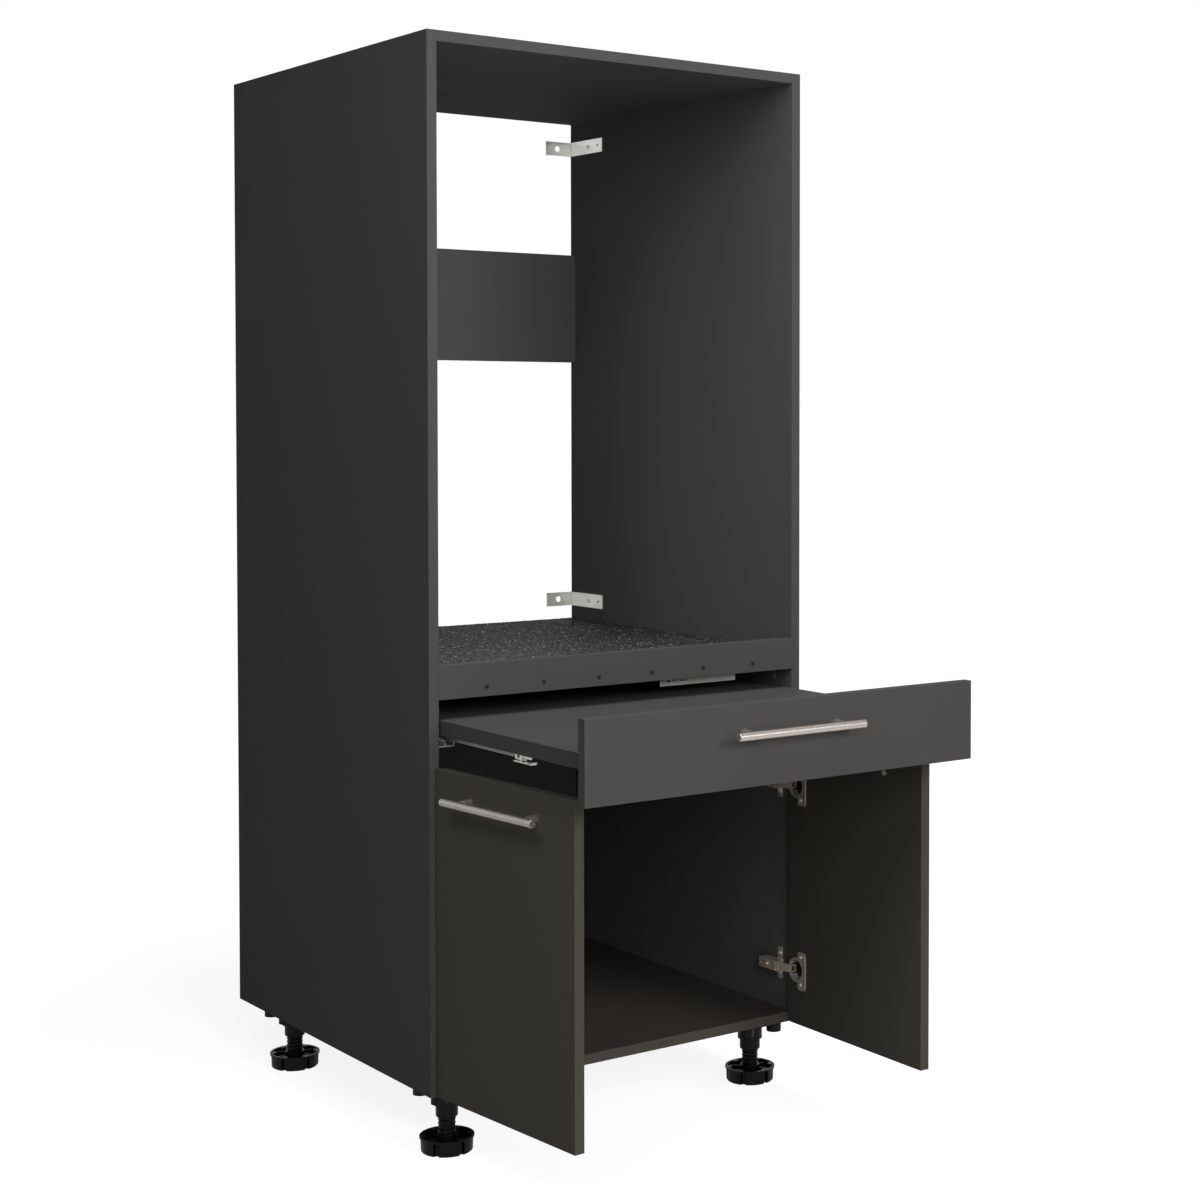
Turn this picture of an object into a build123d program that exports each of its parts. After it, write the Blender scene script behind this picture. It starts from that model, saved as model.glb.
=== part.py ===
from build123d import *
import math
import os

# A tall cabinet that carries a washing machine on a raised shelf, with a pull-out
# board under the shelf and a two-door cupboard below it.
# The origin is on the floor under the middle of the carcass, X to the right,
# Y to the back and Z up. Sizes are in millimetres.

# Carcass
carcass_width = 675.0
carcass_depth = 675.0
carcass_height = 1540.0
foot_height = 102.0
board = 16.0
edge_round = 0.6
back_rail_bottom = 1086.0
back_rail_height = 198.0

# Heavy shelf, measured up from the carcass's bottom edge
shelf_underside = 582.0
shelf_thickness = 22.0
mat_thickness = 6.0
mat_gap = 0.3
front_rail_bottom = 577.0
front_rail_height = 50.0
rail_screw_height = 13.5
rail_screw_pitch = 97.0
rail_screw_count = 6
rail_screw_radius = 2.0
rail_screw_length = 40.0
rail_screw_head = 4.0
rail_screw_sink = 0.2
rail_screw_countersink = 2.0
rail_screw_socket_radius = 1.4
rail_screw_socket_depth = 1.2

# Fits
play = 0.05
seat_gap = 0.3

# Wooden dowels
dowel_radius = 4.0
dowel_in_face = 10.0
dowel_in_edge = 20.0
dowel_end_room = 1.0
board_dowel_count = 4
board_dowel_inset = 40.0
rear_dowel_count = 3
rear_dowel_inset = 55.0
rail_dowel_inset = 13.0
pullout_dowel_count = 5
pullout_dowel_inset = 52.0

# Fronts
front_gap = 3.0
front_edge_inset = 1.5
front_split = 3.0

# Pull-out
pullout_bottom = 482.0
pullout_height = 116.0
pullout_travel = 397.0
pullout_board_underside = 525.0
pullout_board_thickness = 22.0
pullout_rear_room = 42.0
pullout_board_side_gap = 5.5

# Doors
door_bottom = 2.0
door_middle_gap = 1.0
left_door_angle = 85.6
right_door_angle = 89.0
door_open_inset = 9.5
door_open_gap = 3.5

# Cup hinges
hinge_end_distance = 88.5
cup_radius = 17.5
cup_depth = 12.0
cup_wall = 1.0
cup_from_edge = 22.5
flange_thickness = 1.2
flange_height = 62.0
flange_near = 27.0
flange_far = 48.0
flange_corner = 5.0
flange_rib = 2.4
flange_rib_height = 1.4
flange_ring = 19.5
cup_floor_room = 0.4
cup_screw_offset = 11.5
cup_screw_spacing = 45.0
cup_screw_head_radius = 3.0
cup_screw_head = 1.2
cup_notch_reach = 7.5
cup_notch_depth = 8.4
damper_inner = 11.0
damper_outer = 6.0
damper_top_depth = 4.5
arm_pin_from_panel = 16.5
arm_pin_from_front = 13.5
door_pin_depth = 2.0
pin_radius = 1.5
link_half_height = 6.1
link_sheet = 1.4
link_eye = 3.4
link_web_face = 5.4
link_web_start = 6.0
link_web_end = 1.5
link_bow = 2.0
link_bow_start = 18.0
link_bow_end = 4.7
ear_inside = 6.6
ear_sheet = 1.5
ear_half_width = 2.8
ear_top = 2.2
arm_half_height = 8.0
arm_sheet = 1.5
arm_length = 50.0
arm_nose = 6.0
arm_web_from_pin = 4.5
arm_cheek_from_pin = 8.0
arm_slot_width = 5.0
arm_slot_length = 9.0
arm_slot_from_pin = 12.0
arm_rear_slot_from_pin = 35.0
clamp_from_pin = 24.0
plate_sheet = 2.0
plate_screw_spacing = 32.0
plate_screw_from_front = 28.0
plate_wing_height = 52.0
plate_wing_width = 11.0
plate_wing_corner = 2.5
plate_block_half = 6.2
plate_block_from_pin = 6.0
plate_rear_room = 8.0
plate_screw_radius = 2.45
plate_screw_length = 12.0
plate_screw_head_radius = 4.0
clamp_screw_head = 1.2

# Bar handles
handle_length = 220.0
handle_radius = 6.0
handle_hole_spacing = 160.0
handle_standoff = 27.0
handle_edge = 0.6
pullout_handle_from_top = 41.0
door_handle_from_top = 37.0
post_foot_radius = 6.5
post_head_radius = 3.8
handle_screw_radius = 2.0
handle_screw_reach = 14.0
handle_screw_head_radius = 4.0
handle_screw_head = 2.4
spare_hole_height = 38.0
spare_hole_depth = 4.0

# Wall brackets
bracket_sheet = 2.0
bracket_height = 25.0
bracket_side_leg = 110.0
bracket_wall_leg = 54.0
bracket_wall_hole_radius = 5.3
bracket_wall_hole_inset = 29.5
bracket_screw_from_rear = 63.0
bracket_spare_from_rear = 95.0
bracket_spare_radius = 2.5
bracket_levels = {"upper": 1480.5, "lower": 645.5}

# Steel angles under the shelf
bend_radius = 1.0
angle_sheet = 2.0
angle_leg = 26.0
angle_screw_share = 0.6
angle_screw_inset = 150.0
angle_screw_stagger = 40.0
angle_start = 44.5
angle_end = 44.5
punched_sheet = 1.5
punched_from_panel = 87.5
punched_length = 146.0
punched_from_front = 36.0
punched_leg = 20.0
punched_shelf_leg = 25.0
punched_screw_inset = 20.0
punched_row_height = 5.5
punched_slot_height = 3.4
punched_slots = {14.0: 5.0, 24.0: 2.4, 29.0: 2.4, 37.0: 3.0, 42.0: 3.0, 48.0: 3.0}

# Runners
runner_bottom = 508.0
runner_sheet = 1.5
runner_wall_height = 19.0
runner_width = 27.0
runner_lip = 5.0
runner_lip_room = 1.0
runner_inner_lip = 7.0
runner_front = 3.5
runner_rear_room = 35.5
runner_screw_count = 4
runner_screw_front = 45.0
runner_screw_rear = 95.0
slide_from_panel = 13.7
slide_width = 10.0
slide_length = 412.0
slide_groove = 0.8
roller_radius = 4.4
roller_play = 0.2
roller_width = 7.0
roller_count = 5
roller_inset = 12.0
cage_length = 150.0
cage_front_room = 18.0
cage_width = 9.0
cage_thickness = 2.0

# Catches at the slide rails' front ends
clip_length = 18.0
clip_drop = 8.6
clip_window = 4.0
clip_tongue = 25.0
clip_tongue_sheet = 2.0
clip_finger = 13.0
clip_finger_drop = 5.6
lever_length = 50.0
lever_behind = 6.5
lever_sheet = 1.4
lever_room = 2.2
lever_rise = 2.6
lever_grips = 4
lever_grip_radius = 1.6

# Levelling feet
foot_from_side = 57.5
foot_from_front = 57.5
foot_from_rear = 91.5
foot_plate = 84.0
foot_plate_thickness = 4.0
foot_plate_round = 12.0
boss_radius = 12.0
boss_wall = 2.5
boss_offset = 28.0
boss_height = 20.0
boss_screw_seat = 6.0
socket_web = 2.4
socket_web_depth = 11.0
flare_radius = 20.0
flare_bottom = 33.0
collar_radius = 16.5
collar_bottom = 51.0
collar_chamfer = 1.5
collar_roof = 3.0
stem_radius = 13.4
stem_play = 0.2
stem_ridge = 1.0
stem_ridge_pitch = 6.0
stem_ridge_half = 1.4
stem_ridge_flat = 0.4
stem_top = 16.0
base_rim_radius = 40.6
base_skirt_radius = 39.0
base_bottom_radius = 38.2
base_height = 23.3
base_wall = 2.0
base_floor = 3.0
base_rim_band = 3.0
base_chamfer = 1.6
base_lobes = 6
base_notch_width = 8.0
base_notch_depth = 7.0
base_turn = 37.0
base_hub_radius = 15.5
base_hub_stand = 2.0
base_rib = 1.8
base_rib_drop = 2.5

# Screws
small_head_radius = 3.5
small_head = 1.8
small_shank = 1.75
small_length = 12.0
recess_width = 1.0
recess_depth = 1.0
recess_share = 1.1

base_z = foot_height
top_z = foot_height + carcass_height
front_y = -carcass_depth / 2
rear_y = carcass_depth / 2
inner_x = carcass_width / 2 - board
shelf_z = base_z + shelf_underside
mat_z = shelf_z + shelf_thickness
front_face_y = front_y - front_gap
rail_screw_z = base_z + front_rail_bottom + rail_screw_height
punched_right = inner_x - punched_from_panel
punched_left = punched_right - punched_length
foot_x = carcass_width / 2 - foot_from_side
foot_front_y = front_y + foot_from_front
foot_rear_y = rear_y - foot_from_rear
foot_places = {
    "front_left": (-foot_x, foot_front_y),
    "front_right": (foot_x, foot_front_y),
    "rear_left": (-foot_x, foot_rear_y),
    "rear_right": (foot_x, foot_rear_y),
}
left = Vector(-1, 0, 0)
right = Vector(1, 0, 0)
forward = Vector(0, -1, 0)
back = Vector(0, 1, 0)
up = Vector(0, 0, 1)
down = Vector(0, 0, -1)


def block(x0, x1, y0, y1, z0, z1):
    """A box between two corners."""
    middle = Pos((x0 + x1) / 2, (y0 + y1) / 2, (z0 + z1) / 2)
    return middle * Box(abs(x1 - x0), abs(y1 - y0), abs(z1 - z0))


def panel(x0, x1, y0, y1, z0, z1):
    """A board whose edge banding is slightly rounded."""
    raw = block(x0, x1, y0, y1, z0, z1)
    return fillet(raw.edges(), edge_round)


def rod(start, axis, radius, length):
    """A round rod from a point along an axis."""
    seat = Plane(origin=start, z_dir=axis)
    return seat * Cylinder(radius, length, align=(Align.CENTER, Align.CENTER, Align.MIN))


def taper(start, axis, radius, end_radius, length):
    """A cone frustum from a point along an axis."""
    seat = Plane(origin=start, z_dir=axis)
    return seat * Cone(radius, end_radius, length, align=(Align.CENTER, Align.CENTER, Align.MIN))


def plate_shape(points, z0, z1):
    """A flat outline in the XY plane, pulled up from z0 to z1."""
    outline = make_face(Polyline(*points, close=True))
    return Pos(0, 0, z0) * extrude(outline, z1 - z0)


def mirrored(shape):
    """The same shape on the other side of the cabinet's middle plane."""
    return mirror(shape, about=Plane.YZ)


def solids_of(*shapes):
    """Every separate solid in the given shapes."""
    found = []
    for shape in shapes:
        found.extend(shape.solids())
    return found


def save(name, *shapes):
    """Write one node's solids."""
    export_step(Compound(children=solids_of(*shapes)), os.path.join("parts", name + ".step"))


def pan_screw(seat, axis, head_radius, head, shank_radius, length):
    """A screw with a low round head on its seat and a shank that goes the other way.

    The axis points from the seat out through the head, and a cross recess is cut in the head.
    """
    raw_head = rod(seat, axis, head_radius, head)
    shank = rod(seat, -axis, shank_radius, length)
    drive_plane = Plane(origin=seat + axis * (head - recess_depth), z_dir=axis)
    arm = head_radius * recess_share
    cross = Box(arm, recess_width, 2 * recess_depth, align=(Align.CENTER, Align.CENTER, Align.MIN))
    cross += Box(recess_width, arm, 2 * recess_depth, align=(Align.CENTER, Align.CENTER, Align.MIN))
    return raw_head + shank - drive_plane * cross


def small_screw(seat, axis):
    """A short chipboard screw."""
    return pan_screw(seat, axis, small_head_radius, small_head, small_shank, small_length)


def small_bore(seat, axis):
    """The hole that a short chipboard screw fills."""
    return rod(seat, -axis, small_shank + play, small_length + dowel_end_room)


def evenly(first, last, count):
    """Evenly spaced places from first to last."""
    step = (last - first) / (count - 1)
    return [first + step * index for index in range(count)]


def round_bend(shape, axis, outer_corner, inner_corner, sheet):
    """Rounds both sides of a fold; each corner is a point in the middle of its edge."""
    for corner, radius in ((outer_corner, bend_radius + sheet), (inner_corner, bend_radius)):
        edge = min(shape.edges().filter_by(axis), key=lambda one: (one.center() - corner).length)
        shape = fillet(edge, radius)
    return shape


# Places of the dowels that join the side panels to the boards between them
carcass_dowel_places = []
for place_y in evenly(front_y + board_dowel_inset, rear_y - board - board_dowel_inset, board_dowel_count):
    carcass_dowel_places.append((place_y, top_z - board / 2))
for place_y in evenly(foot_front_y, foot_rear_y, board_dowel_count):
    carcass_dowel_places.append((place_y, base_z + board / 2))
for place_y in evenly(front_y + board + board_dowel_inset, rear_y - board_dowel_inset, board_dowel_count):
    carcass_dowel_places.append((place_y, shelf_z + shelf_thickness / 2))
back_rail_top = back_rail_bottom + back_rail_height
front_rail_top = front_rail_bottom + front_rail_height
for place_z in evenly(back_rail_bottom + rear_dowel_inset, back_rail_top - rear_dowel_inset, 2):
    carcass_dowel_places.append((rear_y - board / 2, base_z + place_z))
for place_z in evenly(rear_dowel_inset, shelf_underside - rear_dowel_inset, rear_dowel_count):
    carcass_dowel_places.append((rear_y - board / 2, base_z + place_z))
for place_z in evenly(front_rail_bottom + rail_dowel_inset, front_rail_top - rail_dowel_inset, 2):
    carcass_dowel_places.append((front_y + board / 2, base_z + place_z))


def cross_dowels(radius, room):
    """The dowels, or their bores, on both sides of the carcass."""
    reach = dowel_in_face + dowel_in_edge + 2 * room
    made = []
    for place_y, place_z in carcass_dowel_places:
        start = Vector(inner_x - dowel_in_edge - room, place_y, place_z)
        made.append(rod(start, right, radius, reach))
    return made + [mirrored(one) for one in made]


dowel_bores = cross_dowels(dowel_radius + play, dowel_end_room)

# Places of the small screws on each side panel's inner face, as (y, z)
angle_screw_places = []
for place_y in evenly(front_y + angle_screw_inset, rear_y - angle_screw_inset, 3):
    angle_screw_places.append((place_y, shelf_z - angle_leg * angle_screw_share))
runner_screw_places = []
for place_y in evenly(front_y + runner_screw_front, rear_y - runner_screw_rear, runner_screw_count):
    runner_screw_places.append((place_y, base_z + runner_bottom + runner_wall_height * angle_screw_share))
bracket_screw_places = []
for level in bracket_levels.values():
    bracket_screw_places.append((rear_y - bracket_screw_from_rear, base_z + level))
hinge_levels = [hinge_end_distance + door_bottom]
door_height = pullout_bottom - front_split - door_bottom
hinge_levels.append(door_bottom + door_height - hinge_end_distance)
plate_screw_places = []
for level in hinge_levels:
    for side in (-1, 1):
        place_z = base_z + level + side * plate_screw_spacing / 2
        plate_screw_places.append((front_y + plate_screw_from_front, place_z))
rail_screw_span = rail_screw_pitch * (rail_screw_count - 1)
rail_screw_xs = evenly(-rail_screw_span / 2, rail_screw_span / 2, rail_screw_count)


def side_screw_places():
    """Each small screw's seat on the right side panel, with its head towards the middle."""
    places = []
    for place_y, place_z in angle_screw_places:
        places.append(Vector(inner_x - angle_sheet, place_y, place_z))
    for place_y, place_z in runner_screw_places:
        places.append(Vector(inner_x - runner_sheet, place_y, place_z))
    for place_y, place_z in bracket_screw_places:
        places.append(Vector(inner_x - bracket_sheet, place_y, place_z))
    return places


def side_panel():
    """The right side panel: full height and depth, bored for dowels and screws."""
    shape = panel(inner_x, carcass_width / 2, front_y, rear_y, base_z, top_z)
    bores = [small_bore(seat, left) for seat in side_screw_places()]
    for place_y, place_z in plate_screw_places:
        seat = Vector(inner_x - plate_sheet, place_y, place_z)
        bores.append(rod(seat, right, plate_screw_radius + play, plate_screw_length + plate_sheet))
    return shape - dowel_bores[:len(dowel_bores) // 2] - bores


def shelf_board():
    """The heavy shelf that carries the machine, from the front rail to the rear edge."""
    shape = panel(-inner_x, inner_x, front_y + board, rear_y, shelf_z, mat_z)
    bore_length = rail_screw_sink + rail_screw_length + dowel_end_room - board
    bores = [rod(Vector(x, front_y + board, rail_screw_z), back, rail_screw_radius + play, bore_length)
             for x in rail_screw_xs]
    bores += [small_bore(seat, down) for seat in shelf_screw_places()]
    return shape - dowel_bores - bores


def front_rail():
    """The rail in front of the shelf, with countersunk screw holes."""
    rail_z = base_z + front_rail_bottom
    shape = panel(-inner_x, inner_x, front_y, front_y + board, rail_z, rail_z + front_rail_height)
    holes = []
    for x in rail_screw_xs:
        mouth = Vector(x, front_y, rail_screw_z)
        holes.append(rod(mouth, back, rail_screw_radius + play, board))
        holes.append(taper(mouth, back, rail_screw_head + play, rail_screw_radius + play,
                           rail_screw_countersink + play))
    return shape - dowel_bores - holes


def rail_screw(x):
    """A countersunk screw through the front rail into the shelf's edge."""
    mouth = Vector(x, front_y + rail_screw_sink, rail_screw_z)
    head_depth = rail_screw_countersink - rail_screw_sink
    head = taper(mouth, back, rail_screw_head - rail_screw_sink, rail_screw_radius, head_depth)
    shank = rod(mouth, back, rail_screw_radius, rail_screw_length)
    socket = rod(mouth, back, rail_screw_socket_radius, rail_screw_socket_depth)
    return head + shank - socket


def shelf_screw_places():
    """Seats of the small screws that go up into the shelf."""
    places = []
    for place_y, _ in angle_screw_places:
        for side in (-1, 1):
            seat_x = side * (inner_x - angle_leg * angle_screw_share)
            places.append(Vector(seat_x, place_y + angle_screw_stagger, shelf_z - angle_sheet))
    for x in evenly(punched_left + punched_screw_inset, punched_right - punched_screw_inset, 3):
        seat_y = front_y + punched_from_front + punched_shelf_leg / 2
        places.append(Vector(x, seat_y, shelf_z - punched_sheet))
    return places


def shelf_angle():
    """The right-hand steel angle that carries the shelf's side edge."""
    y0 = front_y + angle_start
    y1 = rear_y - angle_end
    shape = block(inner_x - angle_sheet, inner_x, y0, y1, shelf_z - angle_leg, shelf_z)
    shape += block(inner_x - angle_leg, inner_x, y0, y1, shelf_z - angle_sheet, shelf_z)
    outer_corner = Vector(inner_x, (y0 + y1) / 2, shelf_z)
    inner_corner = outer_corner - Vector(angle_sheet, 0, angle_sheet)
    shape = round_bend(shape, Axis.Y, outer_corner, inner_corner, angle_sheet)
    holes = []
    for place_y, place_z in angle_screw_places:
        holes.append(rod(Vector(inner_x - angle_leg, place_y, place_z), right, small_shank + play, angle_leg))
        seat_x = inner_x - angle_leg * angle_screw_share
        seat = Vector(seat_x, place_y + angle_screw_stagger, shelf_z - angle_leg)
        holes.append(rod(seat, up, small_shank + play, angle_leg))
    return shape - holes


def punched_angle():
    """The short punched steel angle under the shelf, right of the middle."""
    y0 = front_y + punched_from_front
    low_z = shelf_z - punched_leg
    shape = block(punched_left, punched_right, y0, y0 + punched_sheet, low_z, shelf_z)
    shape += block(punched_left, punched_right, y0, y0 + punched_shelf_leg, shelf_z - punched_sheet, shelf_z)
    outer_corner = Vector((punched_left + punched_right) / 2, y0, shelf_z)
    inner_corner = outer_corner + Vector(0, punched_sheet, -punched_sheet)
    shape = round_bend(shape, Axis.X, outer_corner, inner_corner, punched_sheet)
    holes = []
    row_z = low_z + punched_row_height
    for offset, size in punched_slots.items():
        x = punched_left + offset
        holes.append(block(x, x + size, y0 - punched_sheet, y0 + 2 * punched_sheet,
                           row_z, row_z + punched_slot_height))
    for seat in shelf_screw_places():
        if punched_left < seat.X < punched_right:
            holes.append(rod(seat + down * punched_sheet, up, small_shank + play, 3 * punched_sheet))
    return shape - holes


def wall_bracket(level):
    """A right-hand steel angle that ties the cabinet to the wall behind it."""
    z0 = base_z + level - bracket_height / 2
    z1 = z0 + bracket_height
    shape = block(inner_x - bracket_sheet, inner_x, rear_y - bracket_side_leg, rear_y, z0, z1)
    shape += block(inner_x - bracket_wall_leg, inner_x, rear_y - bracket_sheet, rear_y, z0, z1)
    middle_z = base_z + level
    outer_corner = Vector(inner_x, rear_y, middle_z)
    inner_corner = outer_corner - Vector(bracket_sheet, bracket_sheet, 0)
    shape = round_bend(shape, Axis.Z, outer_corner, inner_corner, bracket_sheet)
    wall_hole = Vector(inner_x - bracket_wall_hole_inset, rear_y - 2 * bracket_sheet, middle_z)
    screw_hole = Vector(inner_x - 2 * bracket_sheet, rear_y - bracket_screw_from_rear, middle_z)
    spare_hole = Vector(inner_x - 2 * bracket_sheet, rear_y - bracket_spare_from_rear, middle_z)
    shape -= rod(wall_hole, back, bracket_wall_hole_radius, 3 * bracket_sheet)
    shape -= rod(screw_hole, right, small_shank + play, 3 * bracket_sheet)
    shape -= rod(spare_hole, right, bracket_spare_radius, 3 * bracket_sheet)
    return shape


# Runners: a cabinet rail on the side panel, a slide rail under the board, and a
# cage of rollers between them that travels half as far as the slide rail.
runner_web_inner = inner_x - runner_width
slide_outer = inner_x - slide_from_panel
slide_inner = slide_outer - slide_width
slide_middle_x = (slide_outer + slide_inner) / 2
web_top = base_z + runner_bottom + runner_sheet
slide_bottom = web_top + 2 * roller_radius + 2 * roller_play
slide_top = base_z + pullout_board_underside
pullout_shift = -pullout_travel
closed_front_y = front_face_y - board
slide_rear_closed = rear_y - board - pullout_rear_room
slide_front_closed = slide_rear_closed - slide_length


def cabinet_rail():
    """The right-hand fixed rail, folded from one strip."""
    y0 = front_y + runner_front
    y1 = rear_y - board - runner_rear_room
    z0 = base_z + runner_bottom
    shape = block(inner_x - runner_sheet, inner_x, y0, y1, z0, z0 + runner_wall_height)
    shape += block(runner_web_inner, inner_x, y0, y1, z0, web_top)
    shape += block(runner_web_inner, runner_web_inner + runner_sheet, y0, y1, z0, z0 + runner_inner_lip)
    lip_x = slide_outer + runner_lip_room
    shape += block(lip_x, lip_x + runner_sheet, y0, y1, z0, z0 + runner_lip + runner_sheet)
    outer_corner = Vector(inner_x, (y0 + y1) / 2, z0)
    inner_corner = outer_corner + Vector(-runner_sheet, 0, runner_sheet)
    shape = round_bend(shape, Axis.Y, outer_corner, inner_corner, runner_sheet)
    outer_corner = Vector(runner_web_inner, (y0 + y1) / 2, z0)
    inner_corner = outer_corner + Vector(runner_sheet, 0, runner_sheet)
    shape = round_bend(shape, Axis.Y, outer_corner, inner_corner, runner_sheet)
    holes = []
    for place_y, place_z in runner_screw_places:
        start = Vector(inner_x - 2 * runner_sheet, place_y, place_z)
        holes.append(rod(start, right, small_shank + play, 3 * runner_sheet))
    return shape - holes


def slide_rail():
    """The right-hand moving rail, a closed rolled box with a groove on its outer face."""
    y0 = slide_front_closed + pullout_shift
    y1 = slide_rear_closed + pullout_shift
    outer = block(slide_inner, slide_outer, y0, y1, slide_bottom, slide_top)
    hollow = block(slide_inner + runner_sheet, slide_outer - runner_sheet - slide_groove, y0 - 1, y1 + 1,
                   slide_bottom + runner_sheet, slide_top - runner_sheet)
    third = (slide_top - slide_bottom) / 3
    groove = block(slide_outer - slide_groove, slide_outer + 1, y0 - 1, y1 + 1,
                   slide_bottom + third, slide_top - third)
    return outer - hollow - groove


def roller_cage():
    """The right-hand cage strip with its rollers in their windows."""
    middle_y = front_y + runner_front + cage_front_room + cage_length / 2
    axis_z = web_top + roller_play + roller_radius
    y0 = middle_y - cage_length / 2
    y1 = middle_y + cage_length / 2
    x0 = slide_middle_x - cage_width / 2
    strip = block(x0, x0 + cage_width, y0, y1, axis_z - cage_thickness / 2, axis_z + cage_thickness / 2)
    rollers = []
    for place_y in evenly(y0 + roller_inset, y1 - roller_inset, roller_count):
        start = Vector(slide_middle_x - roller_width / 2, place_y, axis_z)
        rollers.append(rod(start, right, roller_radius, roller_width))
        room = roller_radius + seat_gap
        half = roller_width / 2 + seat_gap
        strip -= block(slide_middle_x - half, slide_middle_x + half, place_y - room, place_y + room,
                       axis_z - room, axis_z + room)
    return [strip] + rollers


def rail_clip():
    """The right-hand catch at the slide rail's front end: housing, tongue and squeeze lever."""
    rail_front = slide_front_closed + pullout_shift
    low_z = slide_top - clip_drop
    housing_front = rail_front - clip_length
    shape = block(slide_inner, slide_outer, housing_front, rail_front, low_z, slide_top)
    middle_y = (housing_front + rail_front) / 2
    sheet = clip_tongue_sheet
    shape -= block(slide_inner + sheet, slide_outer + 1, middle_y - clip_window, middle_y + clip_window,
                   low_z + sheet, slide_top - sheet)
    tongue_front = housing_front - clip_tongue
    shape += block(slide_inner, slide_outer, tongue_front, housing_front, slide_top - sheet, slide_top)
    shape += block(slide_outer - sheet, slide_outer, tongue_front, tongue_front + clip_finger,
                   slide_top - clip_finger_drop, slide_top)
    lever_low = web_top + lever_room
    lever_top = lever_low + lever_sheet
    lever_rear = rail_front + lever_behind
    lever_front = lever_rear - lever_length
    lever_inner = slide_inner + sheet / 2
    lever_outer = slide_outer - sheet / 2
    shape += block(lever_inner, lever_outer, lever_front + lever_rise, lever_rear, lever_low, lever_top)
    for place_y in evenly(lever_front + lever_rise, rail_front - lever_grip_radius, lever_grips):
        grip = Vector(lever_inner, place_y, lever_top)
        shape += rod(grip, right, lever_grip_radius, lever_outer - lever_inner)
    slope = [(lever_front, lever_low + lever_rise), (lever_front, lever_top + lever_rise),
             (lever_front + lever_rise, lever_top), (lever_front + lever_rise, lever_low)]
    tip = make_face(Polyline(*[(0, y, z) for y, z in slope], close=True))
    shape += Pos(lever_inner, 0, 0) * extrude(tip, lever_outer - lever_inner, dir=(1, 0, 0))
    neck_front = housing_front + sheet
    shape += block(lever_inner, lever_outer, neck_front, neck_front + sheet, lever_low, low_z + sheet)
    return shape


def pullout_dowels(radius, room):
    """The dowels, or bores, that join the pull-out board to its front."""
    middle_z = base_z + pullout_board_underside + pullout_board_thickness / 2
    face_y = front_face_y + pullout_shift
    half = inner_x - pullout_board_side_gap - pullout_dowel_inset
    made = []
    for x in evenly(-half, half, pullout_dowel_count):
        start = Vector(x, face_y - dowel_in_face - room, middle_z)
        made.append(rod(start, back, radius, dowel_in_face + dowel_in_edge + 2 * room))
    return made


def pullout_board():
    """The pull-out work board."""
    half = inner_x - pullout_board_side_gap
    y0 = front_face_y + pullout_shift
    z0 = base_z + pullout_board_underside
    y1 = slide_rear_closed + pullout_shift
    shape = panel(-half, half, y0, y1, z0, z0 + pullout_board_thickness)
    return shape - pullout_dowels(dowel_radius + play, dowel_end_room)


def bar_handle(face_y, middle_x, middle_z):
    """A bar handle on a front that faces forward: one bar and its two tapered posts."""
    axis_y = face_y - handle_standoff
    start = Vector(middle_x - handle_length / 2, axis_y, middle_z)
    bar = rod(start, right, handle_radius, handle_length)
    bar = chamfer(bar.edges().filter_by(GeomType.CIRCLE), handle_edge)
    cutter = rod(start, right, handle_radius, handle_length)
    posts = []
    for x in evenly(middle_x - handle_hole_spacing / 2, middle_x + handle_hole_spacing / 2, 2):
        foot = Vector(x, face_y, middle_z)
        post = taper(foot, forward, post_foot_radius, post_head_radius, handle_standoff - handle_radius / 2)
        post -= cutter
        post -= rod(foot, forward, handle_screw_radius + play, handle_screw_reach + dowel_end_room)
        posts.append(max(post.solids(), key=lambda one: one.volume))
    return [bar] + posts


def handle_screws(face_y, thickness, middle_x, middle_z):
    """The two screws that come through the front into a handle's posts."""
    made = []
    for x in evenly(middle_x - handle_hole_spacing / 2, middle_x + handle_hole_spacing / 2, 2):
        seat = Vector(x, face_y + thickness, middle_z)
        made.append(pan_screw(seat, back, handle_screw_head_radius, handle_screw_head, handle_screw_radius,
                              thickness + handle_screw_reach))
    return made


def handle_holes(face_y, thickness, middle_x, middle_z):
    """The two holes through a front for its handle's screws."""
    made = []
    for x in evenly(middle_x - handle_hole_spacing / 2, middle_x + handle_hole_spacing / 2, 2):
        start = Vector(x, face_y - 1, middle_z)
        made.append(rod(start, back, handle_screw_radius + play, thickness + 2))
    return made


def save_pullout():
    """The pull-out: board, front, handle and the two moving rails."""
    half = carcass_width / 2 - front_edge_inset
    face_y = closed_front_y + pullout_shift
    z0 = base_z + pullout_bottom
    handle_z = z0 + pullout_height - pullout_handle_from_top
    front = panel(-half, half, face_y, face_y + board, z0, z0 + pullout_height)
    front -= pullout_dowels(dowel_radius + play, dowel_end_room)
    front -= handle_holes(face_y, board, 0, handle_z)
    save("pullout_front", front)
    save("pullout_board", pullout_board())
    save("pullout_dowels", *pullout_dowels(dowel_radius, 0))
    save("pullout_handle", *bar_handle(face_y, 0, handle_z))
    save("pullout_handle_screws", *handle_screws(face_y, board, 0, handle_z))
    rail = slide_rail()
    save("slide_rail_right", rail)
    save("slide_rail_left", mirrored(rail))
    clip = rail_clip()
    save("rail_clip_right", clip)
    save("rail_clip_left", mirrored(clip))


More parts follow.
